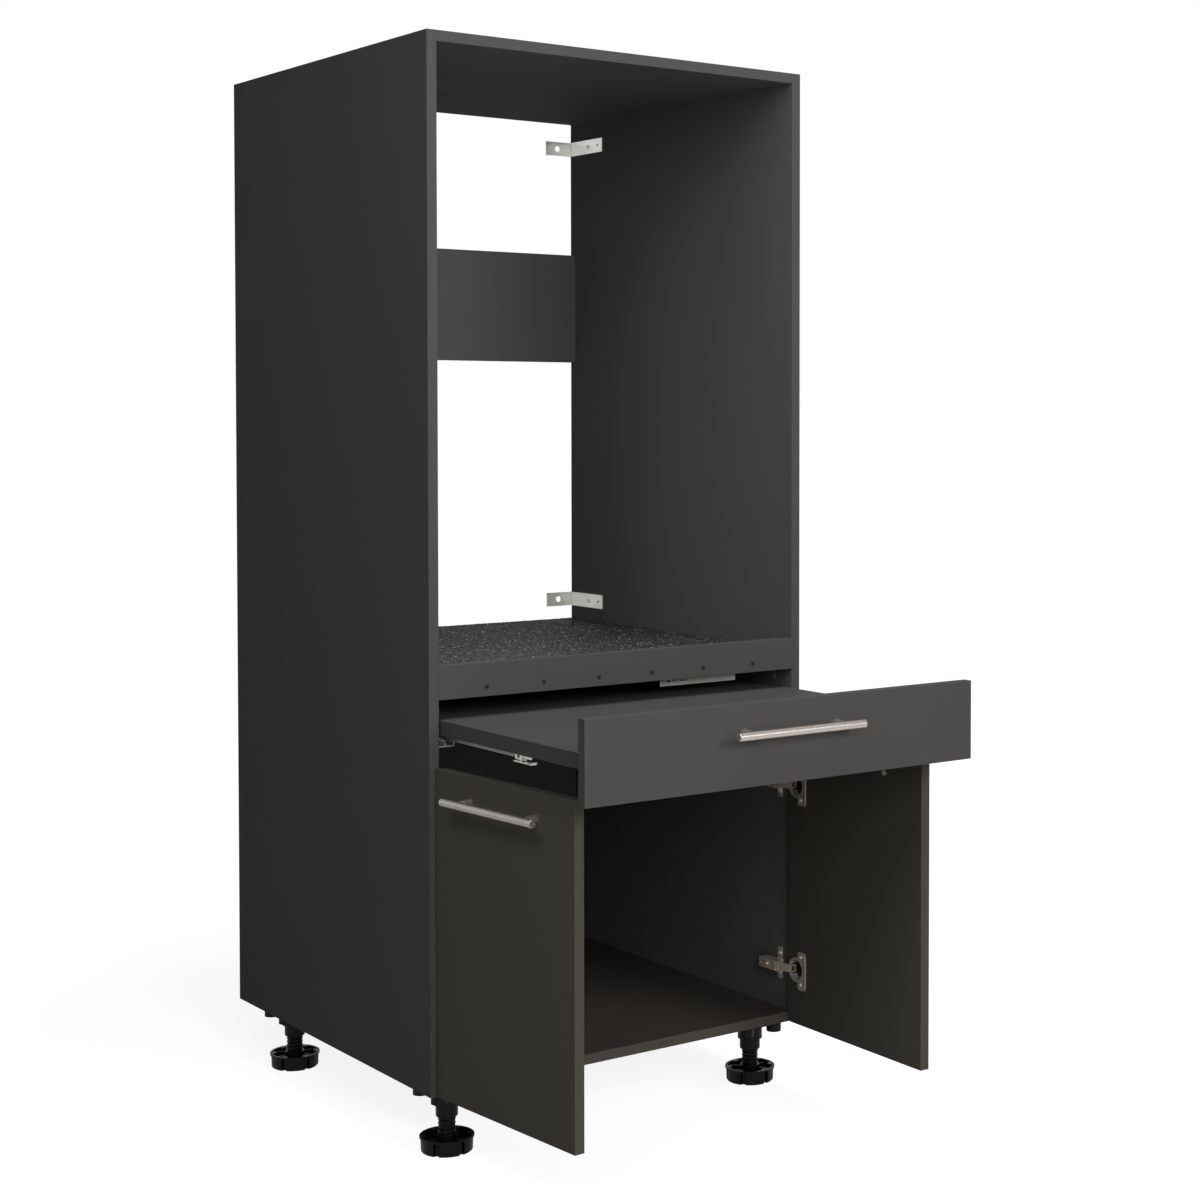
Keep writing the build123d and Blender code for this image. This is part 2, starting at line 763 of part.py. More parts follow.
# Door hinge: the door's pin and the arm's pin are joined by a link. The door's pin
# lies as far from the arm's pin with the door shut as with it open at a right angle.
door_edge = carcass_width / 2 - front_edge_inset
door_width = door_edge - door_middle_gap / 2
arm_pin_x = inner_x - arm_pin_from_panel
arm_pin_y = front_y + arm_pin_from_front
shut_x = door_edge - arm_pin_x
shut_y = front_face_y - door_pin_depth - arm_pin_y
open_x = carcass_width / 2 - door_open_inset - board + door_pin_depth - arm_pin_x
open_y = front_y - door_open_gap - arm_pin_y
pin_from_edge = (shut_x ** 2 + shut_y ** 2 - open_x ** 2 - open_y ** 2) / (2 * (shut_x - open_y))
link_length = math.hypot(shut_x - pin_from_edge, shut_y)
link_shut = math.degrees(math.atan2(shut_y, shut_x - pin_from_edge))
link_open = math.degrees(math.atan2(open_y - pin_from_edge, open_x))
link_turn = (link_open - link_shut) / 90.0


def link_angle(door_angle):
    """The link's direction in degrees when the right door is open by door_angle."""
    return link_shut + link_turn * door_angle


def door_pin(door_angle):
    """The door pin's place when the right door is open by door_angle."""
    angle = math.radians(link_angle(door_angle))
    return (arm_pin_x + link_length * math.cos(angle), arm_pin_y + link_length * math.sin(angle))


def door_place(door_angle):
    """Carries the shut right door to its place when it is open by door_angle."""
    shut_pin_x, shut_pin_y = door_pin(0)
    pin_x, pin_y = door_pin(door_angle)
    return Pos(pin_x, pin_y, 0) * Rot(0, 0, door_angle) * Pos(-shut_pin_x, -shut_pin_y, 0)


def hinge_link(door_angle, level):
    """The link: two cheeks and a web, bowed clear of the side panel's corner."""
    web_face = -link_web_face
    end_x = link_length + link_web_end
    outline = [(0, link_eye), (link_bow_start - arm_nose, link_eye / 2), (link_bow_start, -link_bow),
               (link_length - link_bow_end, -link_bow), (link_length, 2 * pin_radius), (end_x, 0),
               (end_x, web_face), (link_web_start, web_face), (0, -link_eye)]
    body = plate_shape(outline, -link_half_height, link_half_height)
    for x, radius in ((0, link_eye), (link_length, 2 * pin_radius)):
        body += Pos(x, 0, -link_half_height) * rod(Vector(0, 0, 0), up, radius, 2 * link_half_height)
    inside = link_half_height - link_sheet
    beyond = link_length + link_eye + link_web_end
    body -= block(-link_eye - 1, beyond, web_face + link_sheet, link_eye + 1, -inside, inside)
    body -= block(-link_eye - 1, link_eye, web_face - 1, link_eye + 1, -inside, inside)
    for x in (0, link_length):
        body -= rod(Vector(x, 0, -arm_half_height), up, pin_radius + play, 2 * arm_half_height)
    place = Pos(arm_pin_x, arm_pin_y, base_z + level) * Rot(0, 0, link_angle(door_angle))
    return place * body


def hinge_cup(level):
    """The cup, its flange and its pin, on the shut right door."""
    middle_x = door_edge - cup_from_edge
    z = base_z + level
    seat = Vector(middle_x, front_face_y, z)
    outer = cup_radius - 2 * play
    reach = cup_depth - cup_floor_room
    shape = rod(seat, forward, outer, reach)
    flange_face = front_face_y + flange_thickness
    flange = block(door_edge - flange_far, door_edge - flange_near, front_face_y, flange_face,
                   z - flange_height / 2, z + flange_height / 2)
    flange = fillet(flange.edges().filter_by(Axis.Y), flange_corner)
    rib_half = flange_height / 2 - flange_corner
    flange += block(door_edge - flange_far, door_edge - flange_far + flange_rib, front_face_y,
                    flange_face + flange_rib_height, z - rib_half, z + rib_half)
    shape += flange + rod(seat, back, flange_ring, flange_thickness)
    shape -= rod(seat + back * (2 * flange_thickness), forward, outer - cup_wall,
                 reach + 2 * flange_thickness - cup_wall)
    shape -= block(door_edge - cup_notch_reach, door_edge + 1, front_face_y - cup_notch_depth,
                   front_face_y + 2 * flange_thickness, z - ear_inside, z + ear_inside)
    pin_x = door_edge - pin_from_edge
    pin_y = front_face_y - door_pin_depth
    cup_floor = front_face_y - reach + cup_wall / 2
    for side in (-1, 1):
        ear_z = z + side * (ear_inside + ear_sheet / 2)
        shape += block(pin_x - ear_half_width, pin_x + ear_half_width, cup_floor, pin_y + ear_top,
                       ear_z - ear_sheet / 2, ear_z + ear_sheet / 2)
        hole_z = z + side * cup_screw_spacing / 2
        hole = Vector(middle_x - cup_screw_offset, front_face_y - flange_thickness, hole_z)
        shape -= rod(hole, back, small_shank + play, 3 * flange_thickness)
    ear_reach = ear_inside + ear_sheet
    shape += rod(Vector(pin_x, pin_y, z - ear_reach), up, pin_radius, 2 * ear_reach)
    damper_half = link_half_height - link_sheet - seat_gap
    damper_top = front_face_y - damper_top_depth
    shape += block(middle_x - damper_inner, middle_x + damper_outer, cup_floor, damper_top,
                   z - damper_half, z + damper_half)
    return shape


def cup_screws(level):
    """The two screws that hold a cup's flange to the shut right door."""
    made = []
    for side in (-1, 1):
        seat = Vector(door_edge - cup_from_edge - cup_screw_offset, front_face_y + flange_thickness,
                      base_z + level + side * cup_screw_spacing / 2)
        made.append(pan_screw(seat, back, cup_screw_head_radius, cup_screw_head, small_shank, small_length))
    return made


def door_panel():
    """The right door, shut: cup bores, handle holes and two spare marks below."""
    z0 = base_z + door_bottom
    shape = panel(door_edge - door_width, door_edge, closed_front_y, front_face_y, z0, z0 + door_height)
    cuts = []
    for level in hinge_levels:
        mouth = Vector(door_edge - cup_from_edge, front_face_y + 1, base_z + level)
        cuts.append(rod(mouth, forward, cup_radius, cup_depth + 1))
        for side in (-1, 1):
            seat = Vector(door_edge - cup_from_edge - cup_screw_offset, front_face_y + 1,
                          base_z + level + side * cup_screw_spacing / 2)
            cuts.append(rod(seat, forward, small_shank + play, small_length + 1))
    middle_x = door_edge - door_width / 2
    for x in evenly(middle_x - handle_hole_spacing / 2, middle_x + handle_hole_spacing / 2, 2):
        mark = Vector(x, front_face_y - spare_hole_depth, z0 + spare_hole_height)
        cuts.append(rod(mark, back, handle_screw_radius, spare_hole_depth + 1))
    cuts += handle_holes(closed_front_y, board, middle_x, z0 + door_height - door_handle_from_top)
    return shape - cuts


def save_door(side, door_angle):
    """One door with its handle, cups and links, at the angle at which it rests."""
    place = door_place(door_angle)
    hand = mirrored if side == "left" else (lambda shape: shape)
    handle_z = base_z + door_bottom + door_height - door_handle_from_top
    middle_x = door_edge - door_width / 2
    cups = []
    screws = []
    links = []
    for level in hinge_levels:
        cups.append(hinge_cup(level))
        screws += cup_screws(level)
        links.append(hand(hinge_link(door_angle, level)))
    save("door_" + side, hand(place * door_panel()))
    save("hinge_cups_" + side, *[hand(place * cup) for cup in cups])
    save("hinge_cup_screws_" + side, *[hand(place * screw) for screw in screws])
    handle = bar_handle(closed_front_y, middle_x, handle_z)
    save("door_handle_" + side, *[hand(place * piece) for piece in handle])
    handle_bolts = handle_screws(closed_front_y, board, middle_x, handle_z)
    save("door_handle_screws_" + side, *[hand(place * bolt) for bolt in handle_bolts])
    save("hinge_links_" + side, *links)


def hinge_plate(level):
    """The right-hand cross-shaped mounting plate with its raised block."""
    z = base_z + level
    screw_y = front_y + plate_screw_from_front
    wing_half = plate_wing_width / 2
    front_end = arm_pin_y + plate_block_from_pin
    rear_end = arm_pin_y + arm_length - plate_rear_room
    shape = block(inner_x - plate_sheet, inner_x, screw_y - wing_half, screw_y + wing_half,
                  z - plate_wing_height / 2, z + plate_wing_height / 2)
    shape = fillet(shape.edges().filter_by(Axis.X), plate_wing_corner)
    block_top = arm_pin_x - 1
    shape += block(block_top, inner_x, front_end, rear_end, z - plate_block_half, z + plate_block_half)
    for side in (-1, 1):
        hole = Vector(inner_x - 2 * plate_sheet, screw_y, z + side * plate_screw_spacing / 2)
        shape -= rod(hole, right, plate_screw_radius + play, 3 * plate_sheet)
    clamp = Vector(block_top - 1, arm_pin_y + clamp_from_pin, z)
    return shape - rod(clamp, right, small_shank + play, small_length)


def hinge_arm(level):
    """The right-hand arm: two cheeks, a web with a screw hole and two slots, and the link's pin."""
    z = base_z + level
    web_x = arm_pin_x - arm_web_from_pin
    cheek_x = arm_pin_x + arm_cheek_from_pin
    y0 = arm_pin_y - arm_nose
    y1 = arm_pin_y + arm_length - arm_nose
    outline = [(web_x - arm_sheet, y1), (web_x - arm_sheet, arm_pin_y), (web_x, y0),
               (arm_pin_x + 2 * pin_radius, y0), (arm_pin_x + 4 * pin_radius, arm_pin_y),
               (cheek_x, arm_pin_y + arm_slot_from_pin), (cheek_x, y1)]
    shape = plate_shape(outline, z - arm_half_height, z + arm_half_height)
    inside = arm_half_height - arm_sheet
    shape -= block(web_x, cheek_x + 1, y0 - 1, y1 + 1, z - inside, z + inside)
    shape -= block(web_x - 2 * arm_sheet, web_x + 1, y0 - 1, arm_pin_y + arm_sheet, z - inside, z + inside)
    half_slot = arm_slot_length / 2
    for slot_y in (arm_pin_y + arm_slot_from_pin, arm_pin_y + arm_rear_slot_from_pin):
        slot = block(web_x - 2 * arm_sheet, web_x + 1, slot_y - half_slot, slot_y + half_slot,
                     z - arm_slot_width / 2, z + arm_slot_width / 2)
        shape -= fillet(slot.edges().filter_by(Axis.X), arm_slot_width / 2 - play)
    shape += rod(Vector(arm_pin_x, arm_pin_y, z - arm_half_height), up, pin_radius, 2 * arm_half_height)
    clamp = Vector(web_x - 2 * arm_sheet, arm_pin_y + clamp_from_pin, z)
    return shape - rod(clamp, right, small_shank + play, 3 * arm_sheet)


def hinge_fixings(level):
    """The right-hand plate's two screws and the arm's clamping screw."""
    made = []
    for side in (-1, 1):
        seat = Vector(inner_x - plate_sheet, front_y + plate_screw_from_front,
                      base_z + level + side * plate_screw_spacing / 2)
        made.append(pan_screw(seat, left, plate_screw_head_radius, small_head, plate_screw_radius,
                              plate_screw_length))
    seat = Vector(arm_pin_x - arm_web_from_pin - arm_sheet, arm_pin_y + clamp_from_pin, base_z + level)
    made.append(pan_screw(seat, left, small_head_radius, clamp_screw_head, small_shank, small_length))
    return made


def save_hinge_mounts():
    """Plates, arms and their screws on both side panels."""
    plates = [hinge_plate(level) for level in hinge_levels]
    arms = [hinge_arm(level) for level in hinge_levels]
    fixings = []
    for level in hinge_levels:
        fixings += hinge_fixings(level)
    save("hinge_plates_right", *plates)
    save("hinge_plates_left", *[mirrored(one) for one in plates])
    save("hinge_arms_right", *arms)
    save("hinge_arms_left", *[mirrored(one) for one in arms])
    save("hinge_plate_screws", *fixings, *[mirrored(one) for one in fixings])


def boss_places(x, y):
    """The four bosses around one foot."""
    return [(x + a * boss_offset, y + b * boss_offset) for a in (-1, 1) for b in (-1, 1)]


def foot_socket(x, y):
    """The socket under the carcass: plate, four bosses, two webs and the collar for the stem."""
    plate = block(x - foot_plate / 2, x + foot_plate / 2, y - foot_plate / 2, y + foot_plate / 2,
                  base_z - foot_plate_thickness, base_z)
    shape = fillet(plate.edges().filter_by(Axis.Z), foot_plate_round)
    seat = Vector(x, y, base_z)
    for side in (-1, 1):
        web_y = y + side * boss_offset
        shape += block(x - foot_plate / 2 + foot_plate_round, x + foot_plate / 2 - foot_plate_round,
                       web_y - socket_web / 2, web_y + socket_web / 2, base_z - socket_web_depth, base_z)
    for boss_x, boss_y in boss_places(x, y):
        shape += rod(Vector(boss_x, boss_y, base_z), down, boss_radius, boss_height)
    shape += rod(seat, down, flare_radius, flare_bottom)
    collar = rod(seat, down, collar_radius, collar_bottom)
    shape += chamfer(collar.edges().group_by(Axis.Z)[0], collar_chamfer)
    shape -= rod(seat + down * collar_roof, down, stem_radius + stem_play, collar_bottom)
    for boss_x, boss_y in boss_places(x, y):
        mouth = Vector(boss_x, boss_y, base_z - boss_height)
        shape -= rod(mouth, up, boss_radius - boss_wall, boss_height - boss_screw_seat)
        shape -= rod(mouth, up, small_shank + play, boss_height)
    return shape


def socket_screw_seats(x, y):
    """Where the four screws of one socket seat inside its bosses."""
    return [Vector(boss_x, boss_y, base_z - boss_screw_seat) for boss_x, boss_y in boss_places(x, y)]


def base_notches(width, depth, z0, z1):
    """Round-ended notches all around a foot's skirt, as deep as given from its surface."""
    made = []
    centre_x = base_skirt_radius - depth + width / 2
    for index in range(base_lobes):
        notch = block(centre_x, base_rim_radius + 1, -width / 2, width / 2, z0, z1)
        notch += rod(Vector(centre_x, 0, z0), up, width / 2, z1 - z0)
        made.append(Rot(0, 0, 360 / base_lobes * index + base_turn) * notch)
    return made


def levelling_foot():
    """A foot at the origin: ridged stem on a ribbed cup whose notched skirt has a rim band."""
    on_floor = (Align.CENTER, Align.CENTER, Align.MIN)
    rim_z = base_height
    band_z = rim_z - base_rim_band
    cup = Cone(base_bottom_radius, base_skirt_radius, rim_z, align=on_floor)
    cup = chamfer(cup.edges().group_by(Axis.Z)[0], base_chamfer)
    cup += Pos(0, 0, band_z) * Cylinder(base_rim_radius, base_rim_band, align=on_floor)
    hollow = Cone(base_bottom_radius - base_wall, base_skirt_radius - base_wall, rim_z, align=on_floor)
    hollow = Pos(0, 0, base_floor) * hollow
    wall_width = base_notch_width + 2 * base_wall
    wall_depth = base_notch_depth + base_wall
    cup -= hollow - base_notches(wall_width, wall_depth, base_floor, 2 * rim_z)
    cup -= base_notches(base_notch_width, base_notch_depth, -1, band_z)
    for index in range(base_lobes):
        rib = block(base_hub_radius - 1, base_bottom_radius - base_wall / 2, -base_rib / 2, base_rib / 2,
                    base_floor - 1, rim_z - base_rib_drop)
        cup += Rot(0, 0, 360 / base_lobes * (index + 0.5) + base_turn) * rib
    centre = Vector(0, 0, 0)
    cup += rod(centre, up, base_hub_radius, rim_z + base_hub_stand)
    stem_length = base_z - stem_top
    core_radius = stem_radius - stem_ridge
    foot = cup + rod(centre, up, core_radius, stem_length)
    ridge_z = rim_z + stem_ridge_pitch
    while ridge_z < stem_length - stem_ridge_pitch / 2:
        low_z = ridge_z - stem_ridge_half - stem_ridge_flat
        foot += taper(Vector(0, 0, low_z), up, core_radius, stem_radius, stem_ridge_half)
        foot += taper(Vector(0, 0, low_z + stem_ridge_half), up, stem_radius, core_radius, stem_ridge_half)
        ridge_z += stem_ridge_pitch
    return foot


def save_carcass():
    """Boards, rails, dowels, angles and brackets of the carcass."""
    side = side_panel()
    save("side_panel_right", side)
    save("side_panel_left", mirrored(side))
    board_rear = rear_y - board
    save("top_panel", panel(-inner_x, inner_x, front_y, board_rear, top_z - board, top_z) - dowel_bores)
    foot_bores = []
    for foot_x0, foot_y0 in foot_places.values():
        foot_bores += [small_bore(seat, down) for seat in socket_screw_seats(foot_x0, foot_y0)]
    bottom = panel(-inner_x, inner_x, front_y, board_rear, base_z, base_z + board)
    save("bottom_panel", bottom - dowel_bores - foot_bores)
    back_board = panel(-inner_x, inner_x, board_rear, rear_y, base_z, shelf_z)
    save("back_panel", back_board - dowel_bores)
    rail_board = panel(-inner_x, inner_x, board_rear, rear_y,
                       base_z + back_rail_bottom, base_z + back_rail_top)
    save("back_rail", rail_board - dowel_bores)
    save("appliance_shelf", shelf_board())
    mat = block(-inner_x + mat_gap, inner_x - mat_gap, front_y + board + mat_gap, rear_y, mat_z,
                mat_z + mat_thickness)
    save("anti_slip_mat", mat)
    save("front_rail", front_rail())
    save("front_rail_screws", *[rail_screw(x) for x in rail_screw_xs])
    save("carcass_dowels", *cross_dowels(dowel_radius, 0))
    angle = shelf_angle()
    save("shelf_angle_right", angle)
    save("shelf_angle_left", mirrored(angle))
    save("punched_angle", punched_angle())
    screws = [small_screw(seat, left) for seat in side_screw_places()]
    angle_count = len(angle_screw_places)
    runner_count = len(runner_screw_places)
    shelf_screws = screws[:angle_count]
    rail_screws = screws[angle_count:angle_count + runner_count]
    wall_screws = screws[angle_count + runner_count:]
    up_screws = [small_screw(seat, down) for seat in shelf_screw_places()]
    save("shelf_angle_screws", *shelf_screws, *[mirrored(one) for one in shelf_screws], *up_screws)
    save("runner_screws", *rail_screws, *[mirrored(one) for one in rail_screws])
    save("wall_bracket_screws", *wall_screws, *[mirrored(one) for one in wall_screws])
    for name, level in bracket_levels.items():
        bracket = wall_bracket(level)
        save("wall_bracket_" + name + "_right", bracket)
        save("wall_bracket_" + name + "_left", mirrored(bracket))
    rail = cabinet_rail()
    save("cabinet_rail_right", rail)
    save("cabinet_rail_left", mirrored(rail))
    cage = roller_cage()
    save("roller_cage_right", *cage)
    save("roller_cage_left", *[mirrored(one) for one in cage])


def save_feet():
    """The four sockets with their screws, and the four feet."""
    sockets = []
    screws = []
    foot = levelling_foot()
    for name, (x, y) in foot_places.items():
        sockets.append(foot_socket(x, y))
        screws += [small_screw(seat, down) for seat in socket_screw_seats(x, y)]
        save("foot_" + name, Pos(x, y, 0) * foot)
    save("foot_sockets", *sockets)
    save("foot_socket_screws", *screws)


os.makedirs("parts", exist_ok=True)
save_carcass()
save_feet()
save_hinge_mounts()
save_pullout()
save_door("left", left_door_angle)
save_door("right", right_door_angle)

pin_right = door_pin(right_door_angle)
pin_left = door_pin(left_door_angle)
print("arm pin (%.3f, %.3f)" % (arm_pin_x, arm_pin_y))
print("right door pin at rest (%.4f, %.4f)" % pin_right)
print("left door pin at rest (-%.4f, %.4f)" % pin_left)
print("pin from door edge %.4f, link length %.4f" % (pin_from_edge, link_length))
print("link turn per door turn %.6f" % link_turn)
print("link joint per door joint %.6f" % (link_turn / (1 - link_turn)))
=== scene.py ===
# %% [markdown]
# # A laundry cabinet in anthracite board
# The cabinet is flat board, sheet steel and moulded plastic. Its construction is already
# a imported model, so this script starts from that frame and gives it its looks: the finish
# of each surface, and finer shapes where a plain solid would look like a stand-in.

# %% Load the frame
import math

import bpy
import numpy as np
from mathutils import Matrix, Vector


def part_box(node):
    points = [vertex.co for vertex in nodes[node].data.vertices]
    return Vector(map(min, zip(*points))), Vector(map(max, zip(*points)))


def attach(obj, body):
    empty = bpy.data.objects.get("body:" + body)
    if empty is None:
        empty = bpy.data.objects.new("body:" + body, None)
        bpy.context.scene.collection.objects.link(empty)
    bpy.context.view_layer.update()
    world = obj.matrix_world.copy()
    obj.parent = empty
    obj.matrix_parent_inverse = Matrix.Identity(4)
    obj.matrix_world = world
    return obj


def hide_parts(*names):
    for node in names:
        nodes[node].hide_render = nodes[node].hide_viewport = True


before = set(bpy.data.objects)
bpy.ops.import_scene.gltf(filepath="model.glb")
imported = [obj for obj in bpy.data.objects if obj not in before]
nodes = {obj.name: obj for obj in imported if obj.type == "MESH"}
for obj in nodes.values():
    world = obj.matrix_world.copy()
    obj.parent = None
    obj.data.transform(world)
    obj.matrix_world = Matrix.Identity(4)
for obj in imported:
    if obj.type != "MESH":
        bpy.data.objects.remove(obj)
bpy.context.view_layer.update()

# %% [markdown]
# ## Colours and shader nodes
# Colours are easiest to read as hex values, but a shader works in linear light, so one
# function turns them. Shader trees are long when written by hand, so one small function
# adds a node, sets it and links it in a single call.

# %% Colours and shader nodes


def linear(hex_colour):
    """Linear RGBA of an sRGB hex colour: each channel c becomes ((c + 0.055) / 1.055) to the power 2.4,
    or c / 12.92 where c is under 0.04045."""
    channels = [int(hex_colour[i:i + 2], 16) / 255 for i in (1, 3, 5)]
    return [c / 12.92 if c < 0.04045 else ((c + 0.055) / 1.055) ** 2.4 for c in channels] + [1.0]


def add_node(tree, kind, inputs=None, **settings):
    """Adds one shader node. inputs maps a socket to a value, or to the output that feeds it."""
    node = tree.nodes.new("ShaderNode" + kind)
    for name, value in settings.items():
        setattr(node, name, value)
    for socket, value in (inputs or {}).items():
        if isinstance(value, bpy.types.NodeSocket):
            tree.links.new(value, node.inputs[socket])
        else:
            node.inputs[socket].default_value = value
    return node


def new_material(name, **values):
    """A material with its tree and its shader. values are constants for the shader's own sockets."""
    material = bpy.data.materials.new(name)
    material.use_nodes = True
    shader = material.node_tree.nodes["Principled BSDF"]
    for socket, value in values.items():
        shader.inputs[socket.replace("_", " ")].default_value = value
    return material, material.node_tree, shader


def mixed(tree, factor, first, second):
    """A colour between two others. Socket 6 is the first colour, 7 the second and output 2 the result."""
    return add_node(tree, "Mix", {0: factor, 6: first, 7: second}, data_type="RGBA").outputs[2]


def ranged(tree, value, low, high, to_low, to_high):
    """A value carried from one range to another in a straight line, and held at its ends."""
    node = add_node(tree, "MapRange", {0: value, 1: low, 2: high, 3: to_low, 4: to_high})
    return node.outputs[0]


def reckoned(tree, operation, *values):
    """A Math node's result from one value or two."""
    return add_node(tree, "Math", dict(enumerate(values)), operation=operation).outputs[0]


def noise(tree, place, scale, detail):
    """Soft noise from 0 to 1 with so many waves in a metre."""
    return add_node(tree, "TexNoise", {"Vector": place, "Scale": scale, "Detail": detail}).outputs[0]


def shaded(tree, shader, colour, roughness, height, strength, depth):
    """Links a colour, a roughness and a bump of a height in metres to the shader."""
    bump = add_node(tree, "Bump", {"Height": height, "Strength": strength, "Distance": depth})
    tree.links.new(colour, shader.inputs["Base Color"])
    tree.links.new(roughness, shader.inputs["Roughness"])
    tree.links.new(bump.outputs[0], shader.inputs["Normal"])


# %% [markdown]
# ## Melamine-faced board
# The boards are chipboard under a printed paper soaked in melamine resin and pressed
# against a finely textured plate. The eye sees a dark, even grey with a soft, broad sheen
# that wavers a little. The texture is under a millimetre, so it is drawn coarser here.
# Edges that face a wall are left unbanded on such furniture and show the raw chips. Inside
# the niche the boards pass light to each other; the faces there are painted a lighter grey that stands in for that
# light.

# %% Melamine-faced board
millimetre = 0.001
pearl_size = 1.6 * millimetre
cloud_size = 90 * millimetre
chip_size = 2.2 * millimetre
chip_wander = 0.0016
tone_swing = 0.06
speckle_share = 0.35


def object_place(tree):
    """The place on the piece itself, so that a pattern moves with its piece."""
    return add_node(tree, "TexCoord").outputs["Object"]


def chipboard_colour(tree, place):
    """Flat wood chips pressed together: cells longer than they are wide, in four browns."""
    flat = add_node(tree, "Mapping", {"Vector": place, "Scale": (1.0, 1.0, 0.45)}).outputs[0]
    bent = add_node(tree, "TexNoise", {"Vector": flat, "Scale": 300.0, "Detail": 2.0}).outputs["Color"]
    pushed = add_node(tree, "MixRGB", {0: chip_wander, 1: flat, 2: bent}, blend_type="ADD").outputs[0]
    cells = add_node(tree, "TexVoronoi", {"Vector": pushed, "Scale": 1 / chip_size}).outputs["Color"]
    ramp = add_node(tree, "ValToRGB", {0: cells})
    ramp.color_ramp.elements[0].color = linear("#7d6141")
    ramp.color_ramp.elements[1].color = linear("#d2b48a")
    ramp.color_ramp.elements.new(0.4).color = linear("#a88760")
    ramp.color_ramp.elements.new(0.62).color = linear("#c3a274")
    return ramp.outputs[0]


def beyond(tree, place, axis, limit, side):
    """1 where the place lies past a limit along an axis, else 0."""
    part = add_node(tree, "SeparateXYZ", {0: place}).outputs[axis]
    return reckoned(tree, "GREATER_THAN" if side > 0 else "LESS_THAN", part, limit)


carcass_hex = "#4d4d4c"
# The next colour is painted light: a lighter grey for the niche's inner faces and the back rail, standing in for
# the light the boards pass each other.
bounce_light_hex = "#626261"
front_hex = "#4c4b49"
door_hex = "#4f4c45"
cupboard_hex = "#57524c"


def melamine(name, hex_colour, raw_edges=(), bounce_lit_faces=()):
    """Matt melamine. raw_edges lists (axis, limit, side) of edges left as bare chipboard,
    and the last argument those of faces painted a lighter grey that stands in for bounced light."""
    material, tree, shader = new_material(name, Specular_IOR_Level=0.015)
    place = object_place(tree)
    base = linear(hex_colour)
    inside = linear(bounce_light_hex)
    clouds = noise(tree, place, 1 / cloud_size, 3.0)
    pearls = noise(tree, place, 1 / pearl_size, 2.0)
    darker = [c * (1 - tone_swing) for c in base[:3]] + [1.0]
    lighter = [c * (1 + tone_swing) for c in base[:3]] + [1.0]
    colour = mixed(tree, clouds, darker, lighter)
    speckle = mixed(tree, ranged(tree, pearls, 0.3, 0.7, 0.0, 1.0), darker, lighter)
    colour = mixed(tree, speckle_share, colour, speckle)
    gain = [i / b for i, b in zip(inside, base)]
    # Painted light: faces inside the niche are turned to the lighter grey, standing in for the light the boards
    # pass each other.
    for axis, limit, side in bounce_lit_faces:
        lit = add_node(tree, "Mix", {0: 1.0, 6: colour, 7: gain}, data_type="RGBA", blend_type="MULTIPLY")
        colour = mixed(tree, beyond(tree, place, axis, limit, side), colour, lit.outputs[2])
    roughness = ranged(tree, clouds, 0.3, 0.7, 0.56, 0.64)
    for axis, limit, side in raw_edges:
        mask = beyond(tree, place, axis, limit, side)
        colour = mixed(tree, mask, colour, chipboard_colour(tree, place))
        roughness = reckoned(tree, "MAXIMUM", roughness, mask)
    shaded(tree, shader, colour, roughness, pearls, 0.12, 0.2 * millimetre)
    return material


def finish(node, material):
    """Gives a node of the frame its material."""
    nodes[node].data.materials.clear()
    nodes[node].data.materials.append(material)


side_low, side_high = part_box("side_panel_right")
left_inner_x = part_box("side_panel_left")[1].x
top_low, top_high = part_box("top_panel")
board_rear_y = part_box("pullout_board")[1].y
skin = 0.3 * millimetre
rear_raw = ("Y", side_high.y - skin, 1)
foot_raw = ("Z", side_low.z + skin, -1)
# The third entry lists faces painted in the lighter grey as bounced light; the back rail is painted wholly in it.
board_finishes = {
    "side_panel_left": (carcass_hex, [rear_raw, foot_raw], [("X", left_inner_x - skin, 1)]),
    "side_panel_right": (carcass_hex, [rear_raw, foot_raw], [("X", side_low.x + skin, -1)]),
    "top_panel": (carcass_hex, [("Y", top_high.y - skin, 1)], [("Z", top_low.z + skin, -1)]),
    "bottom_panel": (cupboard_hex, [], []),
    "back_panel": (cupboard_hex, [], []),
    "back_rail": (bounce_light_hex, [], []),
    "appliance_shelf": (carcass_hex, [rear_raw], []),
    "front_rail": (carcass_hex, [], []),
    "pullout_front": (front_hex, [], []),
    "pullout_board": (front_hex, [("Y", board_rear_y - skin, 1)], []),
    "door_left": (door_hex, [], []),
    "door_right": (door_hex, [], []),
}
for node, (hex_colour, raw_edges, bounce_lit_faces) in board_finishes.items():
    finish(node, melamine("melamine " + node.replace("_", " "), hex_colour, raw_edges, bounce_lit_faces))
print("boards finished:", len(board_finishes))

# %% [markdown]
# ## Plated steel
# Brackets, angles and runners are sheet steel with a satin zinc coat: bright, slightly
# blue or yellow in patches, with a fine grain from rolling. The sheet's coat mirrors most
# of its light in a soft blur. Rails and screws are duller, and the rails and the punched
# angle are also painted a darker zinc, which stands in for the shade under the boards. Hinges
# are nickel-plated, which is warmer: part of their light is scattered like paint's, and that
# keeps them bright inside a dark cabinet. The handles are stainless tube brushed along their
# length, so fine lines run with the bar and the reflections spread across it. The door
# handles are painted a darker steel, which stands in for the duller light they get.

# %% Plated steel
cup_axis_y = -0.3635
cup_pitch = 0.3
cup_reach = 16.2 * millimetre
cup_flange = 1.6 * millimetre
cup_blur = 0.4 * millimetre
patch_size = 22 * millimetre
